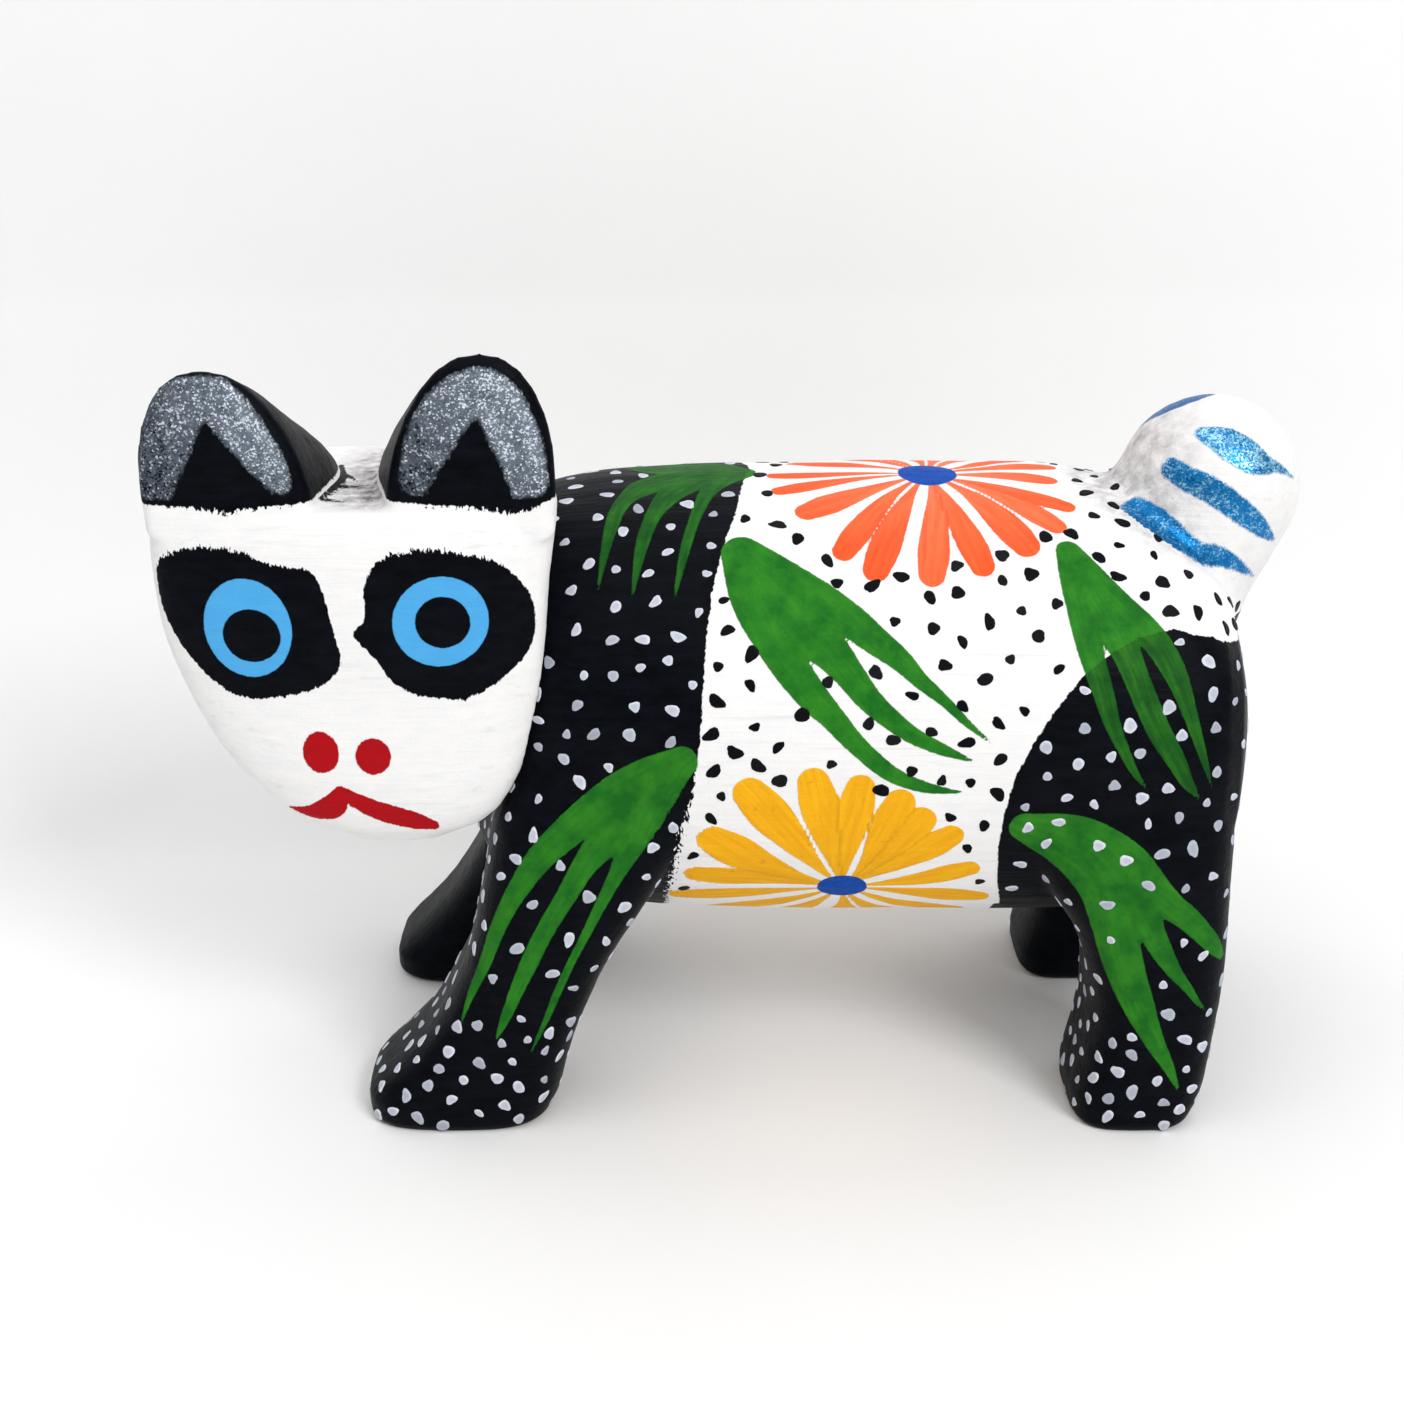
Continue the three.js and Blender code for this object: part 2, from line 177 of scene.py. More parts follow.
# No dots are put between the petals: centre and radii of the bare patch round each flower.
TOP_BARE = ((18.5, 1.2), (15.5, 16))
LOW_BARE = ((8.5, 53.9), (15, 14.5))
FAR_MOTIF_MIRROR = 21.0  # the far flank's leaf and low flower are laid out the other way round

# The black grounds' edges on the body chart, x against the distance round the log.
SHOULDER_EDGE = (
    (0, 0.1), (5, -0.5), (10, -1.2), (15, -2.5), (20, -3.6), (25, -4.2), (35, -4.8), (40, -5.5),
    (45, -6.6), (50, -7.4), (56, -8.2), (76, -9.5),
)
HIND_GROUND = (
    (70, 27.8), (51, 27.6), (49, 26.4), (46.5, 24.4), (42.5, 23.4), (38.5, 24.6), (35.5, 26.4), (33, 28.5),
    (30.5, 31.5), (28.3, 35), (26.7, 38.5), (25.9, 42.5), (25.6, 47), (26, 52), (27, 58), (28, 66),
    (28.5, 80), (70, 80),
)

# The face.
LEFT_PATCH = (
    (-57.4, 63.2), (-55.7, 64.3), (-53.5, 64.9), (-50, 64.9), (-47.3, 64), (-45.4, 63.4), (-42.7, 63.1),
    (-41.5, 61.8), (-40.9, 59.5), (-40.3, 56.6), (-39.8, 53.9), (-41, 51.9), (-43.5, 50.6), (-46.3, 50),
    (-48.7, 49.8), (-51.3, 50.5), (-53.8, 52.6), (-56, 55.5), (-57.3, 58.4), (-57.7, 61.2),
)
RIGHT_PATCH = (
    (-38.4, 56.5), (-37.3, 58.1), (-37.2, 60.9), (-36.3, 63.2), (-34.5, 64.5), (-32.6, 64.8),
    (-30.3, 64.9), (-27.7, 64.5), (-25, 63.8), (-23, 62.4), (-21.4, 60.1), (-20.9, 57.2), (-21.4, 54.8),
    (-22.9, 52.8), (-25.5, 50.8), (-28.2, 49.7), (-30.9, 50), (-33.3, 50.6), (-35.1, 51.9), (-36.3, 53.9),
)
# Rings round the eyes and the pupils in them, and the nostrils: centre, radii, tilt in degrees.
RINGS = (((-48.75, 57.1), (4.35, 5), 6), ((-29.95, 57.8), (4.7, 4.5), 30))
PUPILS = (((-48.4, 56.35), (2.85, 2.7), 0), ((-29.75, 57.75), (2.65, 2.6), 0))
NOSTRILS = (((-42.4, 44.2), (1.8, 2.25), 0), ((-37.2, 43.8), (1.75, 1.95), 0))
MOUTH = (
    ((-40.7, 39.7, 0.75), (-41.8, 38, 1.35), (-44, 37.2, 0.85), (-46.4, 37.4, 0.1)),
    ((-40.8, 39.9, 0.65), (-38.3, 38.3, 1), (-36, 37.2, 1.15), (-33.7, 36.4, 1.1), (-31.8, 35.7, 0.65)),
)
EAR_EDGES = (  # where the ears' black ends on the brow, x against height
    (-58.5, 69), (-56.1, 68.8), (-53.8, 68.6), (-50.1, 68.1), (-48, 68.6), (-44.2, 69), (-41.5, 69.2),
    (-37.2, 69.6), (-35.1, 69.3), (-30.3, 68.9), (-26.9, 68.8), (-23.1, 68.1), (-21.1, 68.5), (-19, 69.5),
)
CROWN_SMEARS = (
    ((-42.9, -20, 0.5), (-41.6, -16, 0.5), (-40.9, -11, 0.4), (-41.9, -5.5, 0.3)),
    ((-43.4, -15, 1), (-41.2, -13.6, 0.7), (-38.6, -13.2, 0.12)),
    ((-43.2, -9, 0.7), (-40.8, -9.4, 0.4), (-39.4, -11.5, 0.12)),
    ((-43, -19, 0.9), (-41.2, -18.4, 0.45), (-39.6, -18.8, 0.1)),
)

# Glitter on the ears, inside the front of the ear and outside the black triangle.
GLITTER_ARCHES = (
    (
        (-58.6, 69.8), (-58.2, 74), (-57.2, 78.2), (-55.4, 80.6), (-52, 81.2), (-49.6, 80.8),
        (-47.4, 78.6), (-45.4, 75.4), (-44.2, 72.4), (-44.4, 70.2), (-46.6, 70.3), (-52, 69.9),
    ),
    (
        (-33, 70.2), (-33.3, 73), (-32.4, 76.4), (-30.6, 79.4), (-28, 81.5), (-25, 82.1), (-22.4, 80.6),
        (-20.6, 77.4), (-19.7, 73.8), (-19.6, 70.4), (-22.4, 69.8), (-28, 70.2),
    ),
)
EAR_TRIANGLES = (
    (
        (-51.9, 77), (-50.4, 75.6), (-48, 72.6), (-45.6, 69.9), (-45, 67), (-56, 67), (-55.4, 70),
        (-53.6, 73.6),
    ),
    (
        (-26.1, 77.4), (-24.9, 75.4), (-23.6, 72.6), (-22.6, 69.6), (-22.4, 67), (-31.6, 67), (-31.2, 70),
        (-28.8, 73.8),
    ),
)

# Glitter drops on the tail: the strength of each drop's painted highlight, then points on its surface with
# half widths.
TAIL_DROPS = (
    (0.4, (
        (40.7, -6.2, 63.7, 1.3), (42, -7.2, 62.7, 1.9), (43.6, -7.8, 61.8, 1.95), (45.2, -8.8, 61, 1.3),
        (46.7, -9.2, 60.4, 0.95), (48.5, -9.4, 59.9, 0.9), (50.1, -8.9, 59.1, 0.7),
        (51.8, -7.8, 57.9, 0.4), (53.5, -5.8, 56.5, 0.08),
    )),
    (0.5, (
        (43.7, -6.7, 68.3, 1.1), (45.1, -7.9, 67.6, 1.25), (46.9, -8.8, 66.9, 1.35),
        (48.7, -9.3, 65.9, 1.3), (50.3, -9.3, 64.7, 1.25), (52, -8.8, 63.4, 1.1), (53.5, -7.9, 62, 0.75),
        (55.2, -6, 60.4, 0.1),
    )),
    (0.75, (
        (46.9, -5.9, 71.7, 0.85), (48.3, -6.6, 71.4, 1.4), (49.8, -7.2, 70.7, 1.85),
        (51.5, -7.6, 69.7, 1.75), (52.9, -7.5, 69, 1.1), (54.4, -6.9, 68.5, 0.6), (55.6, -6.2, 67.7, 0.35),
        (56.7, -5.3, 66.9, 0.08),
    )),
    (0.1, (
        (42.9, 1.9, 70.6, 0.7), (44.9, 1.2, 72.8, 2), (47.2, 1.8, 73.9, 2.2), (49.6, 4.4, 73.4, 0.9),
        (52.5, 7, 71, 0.1),
    )),
    (0.6, ((43, 6.5, 67, 1.1), (46.5, 8.6, 65.6, 1.5), (50.6, 9, 63.6, 1.1), (54.6, 6.6, 60.4, 0.1))),
    (0.3, ((41.8, 6.4, 62, 1.3), (44.6, 8, 60.6, 1.6), (49.2, 8.4, 58.8, 1), (53.2, 5.4, 56.8, 0.08))),
)
TAIL_CENTRE = np.array((49.25, 0, 64.8))
TAIL_RADIUS = 9.4

# Dots.
PALE_DOT_GAP = 2.75
FOOT_DOT_GAP = 2.2
BLACK_DOT_GAP = 2.85
PALE_DOT_RADIUS = 0.59
BLACK_DOT_RADIUS = 0.64
DOT_RELIEF = 0.09
DOT_SINK = 0.08
DOT_SIDES = 14
DOT_PROFILE = (  # size, height, and how much paint has run there
    (1.0, -DOT_SINK, 1.0),
    (0.97, 0.35 * DOT_RELIEF, 1.0),
    (0.8, DOT_RELIEF, 0.85),
    (0.5, 0.8 * DOT_RELIEF, 0.2),
)
DOT_TRIES = 60000
DOT_INSET = 0.95  # how far the dots keep from the edge of a black ground
PALE_CLEAR, BLACK_CLEAR = 0.55, 0.4  # and from leaves and petals
LEAF_DOT_CHANCE = 0.035  # share of the tries that may land on the hind leaf
DOT_CELL = 4  # more than the widest gap, so that only neighbouring cells are searched
FOOT_TOP = 13  # below this height the dots stand closer
LEG_TOP = 30  # below this height the legs' inner faces are left bare

# ---- the carved skin ----


def mesh_of(name, verts, faces):
    me = bpy.data.meshes.new(name)
    me.from_pydata(verts, [], faces)
    me.update()
    return me


def object_of(name, data):
    ob = bpy.data.objects.new(name, data)
    bpy.context.scene.collection.objects.link(ob)
    return ob


def coords_of(me):
    co = np.empty(len(me.vertices) * 3)
    me.vertices.foreach_get("co", co)
    return co.reshape(-1, 3) / MM


def normals_of(me):
    n = np.empty(len(me.vertices) * 3)
    me.vertices.foreach_get("normal", n)
    return n.reshape(-1, 3)


def put_coords(me, co):
    me.vertices.foreach_set("co", (co * MM).astype(np.float32).ravel())
    me.update()


def edge_ends(me):
    """The two vertices of every edge, as two index arrays."""
    ends = np.empty(len(me.edges) * 2, np.int64)
    me.edges.foreach_get("vertices", ends)
    return ends.reshape(-1, 2).T


def grown_solids(names):
    """The solids of one block, grown a little so that its glue joints and bores close up."""
    bm = bmesh.new()
    for name in names:
        bm.from_mesh(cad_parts[name].data)
    bmesh.ops.remove_doubles(bm, verts=bm.verts, dist=0.002 * MM)
    bm.normal_update()
    moves = [(v, v.normal * (JOINT_FILL * MM)) for v in bm.verts]
    for v, move in moves:
        v.co += move
    me = bpy.data.meshes.new("solids")
    bm.to_mesh(me)
    bm.free()
    return me


def remeshed(me):
    ob = object_of("skin_draft", me)
    mod = ob.modifiers.new("voxels", "REMESH")
    mod.mode = "VOXEL"
    mod.voxel_size = VOXEL * MM
    mod.adaptivity = 0
    done = bpy.data.meshes.new_from_object(ob.evaluated_get(bpy.context.evaluated_depsgraph_get()))
    bpy.data.objects.remove(ob)
    return done


def largest_shell(me):
    """Keeps the outermost shell and drops what was left of the bores inside."""
    bm = bmesh.new()
    bm.from_mesh(me)
    islands = island_faces(bm)
    islands.sort(key=len)
    bmesh.ops.delete(bm, geom=[f for part in islands[:-1] for f in part], context="FACES")
    bm.to_mesh(me)
    bm.free()


def island_faces(bm):
    seen = set()
    islands = []
    for start in bm.faces:
        if start in seen:
            continue
        seen.add(start)
        part, queue = [], [start]
        while queue:
            face = queue.pop()
            part.append(face)
            for edge in face.edges:
                for other in edge.link_faces:
                    if other not in seen:
                        seen.add(other)
                        queue.append(other)
        islands.append(part)
    return islands


def softened(me):
    """Takes the voxel steps and the sharp arrises off, as sanding does, and keeps the size."""
    a, b = edge_ends(me)
    co = coords_of(me)
    n = len(co)
    count = np.bincount(np.concatenate((a, b)), minlength=n)[:, None]
    for pull in (SOFTEN_IN, SOFTEN_OUT) * SOFTEN_ROUNDS:
        sums = [np.bincount(a, co[b, k], n) + np.bincount(b, co[a, k], n) for k in range(3)]
        co += pull * (np.stack(sums, axis=1) / count - co)
    return co


def about_tail_root(co):
    """Height over the tail's root along its axis, and distance from that axis."""
    axis = np.array(TAIL_AXIS)
    off = co - np.array(TAIL_ROOT)
    height = off @ axis
    return height, np.linalg.norm(off - height[:, None] * axis, axis=1)


def filled_at_tail(me):
    """Rounds the crease at the tail's root, where filler and thick paint cover the joint."""
    co = coords_of(me)
    height, radius = about_tail_root(co)
    weight = 0.9 * np.exp(-((height / FILLET_HEIGHT) ** 2)) * ramp(radius, *FILLET_RADII)
    weight *= ramp(co[:, 2], *FILLET_LOW_END)
    keep = np.flatnonzero(weight > 0.01)
    place = np.full(len(co), -1)
    place[keep] = np.arange(len(keep))
    a, b = edge_ends(me)
    touching = (place[a] >= 0) | (place[b] >= 0)
    a, b = a[touching], b[touching]
    ends, others = np.concatenate((a, b)), np.concatenate((b, a))
    inner = place[ends] >= 0
    ends, others = place[ends[inner]], others[inner]
    count = np.bincount(ends, minlength=len(keep))[:, None]
    for _ in range(FILLET_ROUNDS):
        total = np.stack([np.bincount(ends, co[others, k], len(keep)) for k in range(3)], axis=1)
        co[keep] += weight[keep, None] * 0.7 * (total / count - co[keep])
    return co


def hand_carved(co, normals):
    """A little lumpiness and ripples along the grain, with soles that stay flat on the ground."""
    lift = np.empty(len(co))
    for i, (x, y, z) in enumerate(co):
        broad = noise.noise(Vector((x * 0.11, y * 0.14, z * 0.14)))
        ripple = noise.noise(Vector((x * 0.05, y * 0.7, z * 0.7 + 9)))
        lift[i] = LUMPS * broad + RIPPLES * ripple
    co = co + normals * (lift - DRAW_BACK)[:, None]
    co[:, 2] = np.maximum(co[:, 2], 0)
    return co


def split_at_joints(me, main, glued, planes):
    """Cuts a block's skin at its glue joints, and gives back the closed meshes by their names."""
    bm = bmesh.new()
    bm.from_mesh(me)
    for point, normal in planes:
        plane = {"plane_co": Vector(point) * MM, "plane_no": Vector(normal), "dist": 1e-7}
        everything = bm.verts[:] + bm.edges[:] + bm.faces[:]
        found = bmesh.ops.bisect_plane(bm, geom=everything, **plane)
        cuts = [item for item in found["geom_cut"] if isinstance(item, bmesh.types.BMEdge)]
        bmesh.ops.split_edges(bm, edges=cuts)
    meshes = {}
    for part in island_faces(bm):
        index = {}
        faces = [[index.setdefault(v, len(index)) for v in f.verts] for f in part]
        verts = [v.co.copy() for v in index]
        middle = sum(verts, Vector()) / len(verts)
        nearest = min((main, *glued), key=lambda name: (middle - middle_of(name)).length)
        meshes[nearest] = capped(mesh_of(nearest, verts, faces))
    bm.free()
    return meshes


def middle_of(node):
    low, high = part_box(node)
    return (Vector(low) + Vector(high)) / 2


def capped(me):
    """Closes each cut with a flat cap that has a sharp edge."""
    bm = bmesh.new()
    bm.from_mesh(me)
    rims = [e for e in bm.edges if e.is_boundary]
    made = bmesh.ops.holes_fill(bm, edges=rims, sides=0)["faces"]
    for e in rims:
        e.smooth = False
    for f in bm.faces:
        f.smooth = True
    bmesh.ops.triangulate(bm, faces=made)
    bmesh.ops.recalc_face_normals(bm, faces=bm.faces[:])
    bm.to_mesh(me)
    bm.free()
    return me


# ---- paint, as distances on charts ----

OUT = 6.0  # a distance that counts as far outside


def smooth_rows(rows, steps=5, closed=False):
    """A smooth curve through rows of numbers."""
    p = np.array(rows, float)
    if closed:
        ext = np.vstack((p[-1:], p, p[:2]))
    else:
        ext = np.vstack((2 * p[0] - p[1], p, 2 * p[-1] - p[-2]))
    out = []
    for p0, p1, p2, p3 in zip(ext, ext[1:], ext[2:], ext[3:]):
        for t in np.arange(steps) / steps:
            square, cube = 2 * p0 - 5 * p1 + 4 * p2 - p3, 3 * p1 - p0 - 3 * p2 + p3
            out.append(0.5 * (2 * p1 + (p2 - p0) * t + square * t**2 + cube * t**3))
    if not closed:
        out.append(p[-1])
    return np.array(out)


class Coat:
    """One colour of paint on one piece. d is the distance to the colour's edge, under 0 inside.

    across and along run with the brush, tone differs by stroke, and thin lets the ground through.
    """

    def __init__(self, count):
        self.d = np.full(count, OUT)
        self.across, self.along, self.tone, self.thin = np.zeros((4, count))

    def add(self, where, d, across=0.0, along=0.0, tone=0.0, thin=0.0):
        """Lays a stroke over the vertices in the index array where."""
        better = d < self.d[where]
        hit = where[better]
        pick = lambda v: v[better] if isinstance(v, np.ndarray) else v
        self.d[hit] = d[better]
        self.across[hit] = pick(across)
        self.along[hit] = pick(along)
        self.tone[hit] = tone
        self.thin[hit] = thin

    def stroke(self, chart, rows, use=None, tone=0.0, thin=0.0):
        """A brush stroke with a half width that changes along it."""
        path = smooth_rows(rows)
        path[:, -1] = np.maximum(path[:, -1], 0.05)
        margin = path[:, -1].max() + 2
        low, high = path[:, :-1].min(0) - margin, path[:, :-1].max(0) + margin
        near = np.all((chart > low) & (chart < high), axis=1)
        if use is not None:
            near &= use
        where = np.flatnonzero(near)
        if not len(where):
            return
        p = chart[where]
        best = np.full(len(p), OUT)
        across, along = np.zeros(len(p)), np.zeros(len(p))
        run = 0.0
        for a, b in zip(path, path[1:]):
            step = b[:-1] - a[:-1]
            length = max(np.linalg.norm(step), 1e-6)
            t = np.clip((p - a[:-1]) @ step / length**2, 0, 1)
            off = p - (a[:-1] + t[:, None] * step)
            d = np.linalg.norm(off, axis=1) - (a[-1] + t * (b[-1] - a[-1]))
            side = off[:, 0] * step[1] - off[:, 1] * step[0]
            closer = d < best
            best[closer] = d[closer]
            across[closer] = (side / length)[closer]
            along[closer] = (run + t * length)[closer]
            run += length
        self.add(where, best, across, along, tone, thin)

    def lay(self, other):
        """Puts another coat of the same colour with this one."""
        hit = other.d < self.d
        for field in ("d", "across", "along", "tone", "thin"):
            getattr(self, field)[hit] = getattr(other, field)[hit]

    def ellipse(self, use, chart, centre, radii, tilt=0):
        where = np.flatnonzero(use)
        self.add(where, ellipse_distance(chart[where], centre, radii, tilt))

    def polygon(self, use, chart, rows):
        where = np.flatnonzero(use)
        self.add(where, polygon_distance(chart[where], rows))


def ellipse_distance(p, centre, radii, tilt=0):
    turn = math.radians(tilt)
    q = p - np.array(centre)
    u = (q[:, 0] * math.cos(turn) + q[:, 1] * math.sin(turn)) / radii[0]
    v = (q[:, 1] * math.cos(turn) - q[:, 0] * math.sin(turn)) / radii[1]
    return (np.hypot(u, v) - 1) * min(radii)


def polygon_distance(p, rows, smooth=True):
    ring = smooth_rows(rows, closed=True) if smooth else np.array(rows, float)
    best = np.full(len(p), 1e9)
    inside = np.zeros(len(p), bool)
    for a, b in zip(ring, np.roll(ring, -1, axis=0)):
        step = b - a
        t = np.clip((p - a) @ step / max(step @ step, 1e-9), 0, 1)
        best = np.minimum(best, np.linalg.norm(p - (a + t[:, None] * step), axis=1))
        crosses = (a[1] > p[:, 1]) != (b[1] > p[:, 1])
        if a[1] != b[1]:
            inside ^= crosses & (p[:, 0] < a[0] + (p[:, 1] - a[1]) * step[0] / (b[1] - a[1]))
    return np.where(inside, -best, best)


def ramp(x, low, high):
    """A smooth step, from 0 at low to 1 at high."""
    t = np.clip((x - low) / (high - low), 0, 1)
    return t * t * (3 - 2 * t)


PETAL = ((0.15, 0.12), (0.35, 0.42), (0.6, 0.9), (0.84, 1.2), (1.0, 1.0))
FAT_PETAL = ((0.15, 0.12), (0.35, 0.42), (0.6, 0.88), (0.82, 1.15), (1.0, 0.95))


def flower(petal_coat, heart_coat, chart, centre, radii, petals, shape, use):
    """Petals run out from the heart, narrow at the root and round at the tip."""
    heart_coat.ellipse(use, chart, centre, radii)
    cx, cs = centre
    for k, (x, s, width) in enumerate(petals):
        dx, ds = x - cx, s - cs
        shrink = 1 - shape[-1][1] * width / math.hypot(dx, ds)
        bend = 0.025 * math.sin(k * 2.3)
        rows = [
            (
                cx + dx * t * shrink - ds * bend * math.sin(math.pi * t),
                cs + ds * t * shrink + dx * bend * math.sin(math.pi * t),
                width * w,
            )
            for t, w in shape
        ]
        petal_coat.stroke(chart, rows, use, tone=(k * 0.37) % 1)


COATS = ("black", "green", "orange", "yellow", "royal", "sky", "red", "silver", "teal")


def paint(name, me):
    """Works out every coat on one carved piece and stores it on the mesh's vertices."""
    co, normals = coords_of(me), normals_of(me)
    n = len(co)
    x, y, z = co.T
    coats = {c: Coat(n) for c in (*COATS, "bare")}
    ragged = np.full(n, 0.1)
    grime = np.zeros(n)
    flat = np.stack((x, z), axis=1)
    if name == "torso" or "leg" in name:
        paint_body(name, coats, ragged, co, flat, normals)
    elif name == "head":
        paint_head(coats, ragged, grime, co, flat)
    elif name.startswith("ear"):
        paint_ear(coats, ragged, co, flat, normals)
    else:
        # Painted shade and grime on the tail: darker towards the rump and in the crease at its root.
        grime[:] = np.maximum(0.15 + 1.0 * ramp(x, 49, 41), crease(co))
    if name == "torso":
        # Painted shade and grime on the rump round the tail's root and in the crease there.
        ring = np.linalg.norm(co - TAIL_CENTRE, axis=1)
        grime[:] = np.maximum(1.2 * ramp(ring, 17, 12.5) * ramp(x, 46, 40) * ramp(z, 54, 58), crease(co))
    if name in ("torso", "tail"):
        off = co - TAIL_CENTRE
        close = np.linalg.norm(off, axis=1) < 13
        # Each drop's painted highlight strength goes into the teal coat's tone.
        for shine, rows in TAIL_DROPS:
            spots = [(*on_tail_ball(np.array(row[:3]) - TAIL_CENTRE), row[3]) for row in rows]
            coats["teal"].stroke(on_tail_ball(off), spots, close, tone=shine)
    store(me, coats, ragged, grime, shine_of(coats, flat))
    return coats


def on_tail_ball(off):
    """Moves points half of the way towards a ball of the tail's size, along their direction."""
    radius = np.linalg.norm(off, axis=-1, keepdims=True)
    return off * (TAIL_RADIUS + radius) / (2 * radius)


def crease(co):
    """Painted shade, with grime, darkening the crease at the tail's root."""
    height, radius = about_tail_root(co)
    return 1.5 * np.exp(-((height / 1.1) ** 2)) * ramp(radius, 13, 11) * ramp(co[:, 0], 48, 43)


def paint_body(name, coats, ragged, co, flat, normals):
    x, y, z = co.T
    n = len(co)
    near = y < 0
    height = np.clip((z - LOG_AXIS_Z) / LOG_RADIUS, -1, 1)
    round_log = LOG_RADIUS * np.abs(np.arctan2(-y, z - LOG_AXIS_Z))
    by_height = LOG_RADIUS * np.arccos(height)
    blend = ramp(x, *RUMP_TURN)
    s = (1 - blend) * round_log + blend * by_height
    chart = np.stack((x, s), axis=1)
    signed = np.stack((x, np.where(near, s, -s)), axis=1)
    mirrored = np.stack((FAR_MOTIF_MIRROR - x, s), axis=1)
    everywhere = np.arange(n)
    if name == "torso":
        edge_s, edge_x = np.array(SHOULDER_EDGE, float).T
        wobble = np.where(near, 0.0, 0.6 * np.sin(s * 0.21 + 1))
        coats["black"].add(everywhere, x - np.interp(s, edge_s, edge_x) - wobble)
        coats["black"].add(everywhere, polygon_distance(chart, HIND_GROUND, smooth=False))
        ahead, behind = LEG_BLACK_X
        stubs = np.where(x < -ahead, x - ahead, behind - x)
        stubs = np.maximum(stubs, np.maximum(z - LEG_BLACK_TOP, LEG_BLACK_INNER - np.abs(y)))
        coats["black"].add(everywhere, stubs)
        front_edge = np.abs(x - np.interp(s, edge_s, edge_x)) < 3
        ragged[:] = np.where(front_edge, 0.12 + 0.85 * ramp(s, 36, 46), 0.1)
    else:
        coats["black"].add(everywhere, np.full(n, -OUT))
    for side, main in ((near, chart), (~near, mirrored)):
        for rows in BODY_LEAF:
            coats["green"].stroke(main, rows, side, tone=0.2, thin=0.02)
        if name == "torso":
            flower(coats["yellow"], coats["royal"], main, *LOW_FLOWER, LOW_PETALS, FAT_PETAL, side)
            coats["bare"].ellipse(side, main, *LOW_BARE)
    for rows in RUMP_LEAF:
        coats["green"].stroke(chart, rows, tone=0.5, thin=0.6)
    for rows in BAND_LEAF:
        coats["green"].stroke(signed, rows, near, tone=0.7, thin=0.55)
        coats["green"].stroke(chart, rows, ~near, tone=0.7, thin=0.55)
    outer = Coat(n)
    for rows in SHOULDER_LEAF:
        outer.stroke(flat, rows, tone=0.1, thin=0.1)
    for rows in HIND_LEAF:
        outer.stroke(flat, rows, tone=0.9, thin=0.1)
    outer.d += OUT * ramp(normals[:, 1] * np.sign(y), 0.35, -0.05)
    coats["green"].lay(outer)
    if name == "torso":
        upper = z > LOG_AXIS_Z
        flower(coats["orange"], coats["royal"], signed, *TOP_FLOWER, TOP_PETALS, PETAL, upper)
        coats["bare"].ellipse(upper, signed, *TOP_BARE)


def paint_head(coats, ragged, grime, co, flat):
    x, y, z = co.T
    front = y < -12
    crown = np.stack((x, y), axis=1)
    for rows in (LEFT_PATCH, RIGHT_PATCH):
        coats["black"].polygon(front, flat, rows)
    ragged[:] = np.where(front, 0.1 + 0.5 * ramp(z, 62, 65) + 0.15 * ramp(z, 53, 50), 0.1)
    where = np.flatnonzero(front)
    p = flat[where]
    for ring, pupil in zip(RINGS, PUPILS):
        coats["sky"].add(where, np.maximum(ellipse_distance(p, *ring), -ellipse_distance(p, *pupil)))
    for spot in NOSTRILS:
        coats["red"].ellipse(front, flat, *spot)
    for rows in MOUTH:
        coats["red"].stroke(flat, rows, front)
    for rows in CROWN_SMEARS:
        coats["black"].stroke(crown, rows, z > 66)
    under_ear = (y < -3.5) & ((x < -41.4) | (x > -37.1))
    where = np.flatnonzero(under_ear & (z > 66))
    edge = np.interp(x[where], *np.array(EAR_EDGES).T)
    coats["black"].add(where, edge - z[where])
    # Painted shade on the crown between the ears.
    between = np.exp(-(((x + 37.2) / 3.8) ** 2)) * ramp(y, 6, -4) * ramp(y, -23, -18)
    grime[:] = 2.2 * between * ramp(z, 66, 68)


def paint_ear(coats, ragged, co, flat, normals):
    x, y, z = co.T
    coats["black"].add(np.arange(len(co)), np.interp(x, *np.array(EAR_EDGES).T) - z)
    front = (normals[:, 1] < -0.25) & (y < -17)
    ragged[:] = 0.16
    where = np.flatnonzero(front)
    p = flat[where]
    for arch, triangle in zip(GLITTER_ARCHES, EAR_TRIANGLES):
        d = np.maximum(polygon_distance(p, arch), -polygon_distance(p, triangle))
        coats["silver"].add(where, d)


def shine_of(coats, flat):
    """Painted highlight on the glitter: lighter towards each ear's upper right and along its rim, darker
    to the left; on the tail, each drop's strength.
    """
    x, z = flat.T
    left = np.where(x < -38.5, -58.0, -33.5)
    d = coats["silver"].d
    u = np.clip((x - left) / 14, 0, 1)
    rim = np.exp(-(((d + 0.8) / 0.7) ** 2)) * ramp(u, 0.45, 0.75) * ramp(z, 71, 75)
    ears = 0.55 * u + 0.4 * np.clip((z - 71) / 10, 0, 1) + 0.5 * rim
    return np.where(x < 0, ears, coats["teal"].tone)


def store(me, coats, ragged, grime, shine):
    """Keeps each coat's distance on the mesh, with the brush's run under the nearest streaked coat."""
    streaked = [coats[c] for c in ("green", "orange", "yellow", "teal")]
    best = np.argmin([c.d for c in streaked], axis=0)
    pick = lambda field: np.choose(best, [getattr(c, field) for c in streaked])
    values = {c: coats[c].d for c in COATS}
    values.update({field: pick(field) for field in ("across", "along", "tone")})
    values.update(thin=coats["green"].thin, ragged=ragged, grime=grime, shine=shine)
    for key, data in values.items():
        me.attributes.new(key, "FLOAT", "POINT").data.foreach_set("value", data.astype(np.float32))


# ---- dots ----


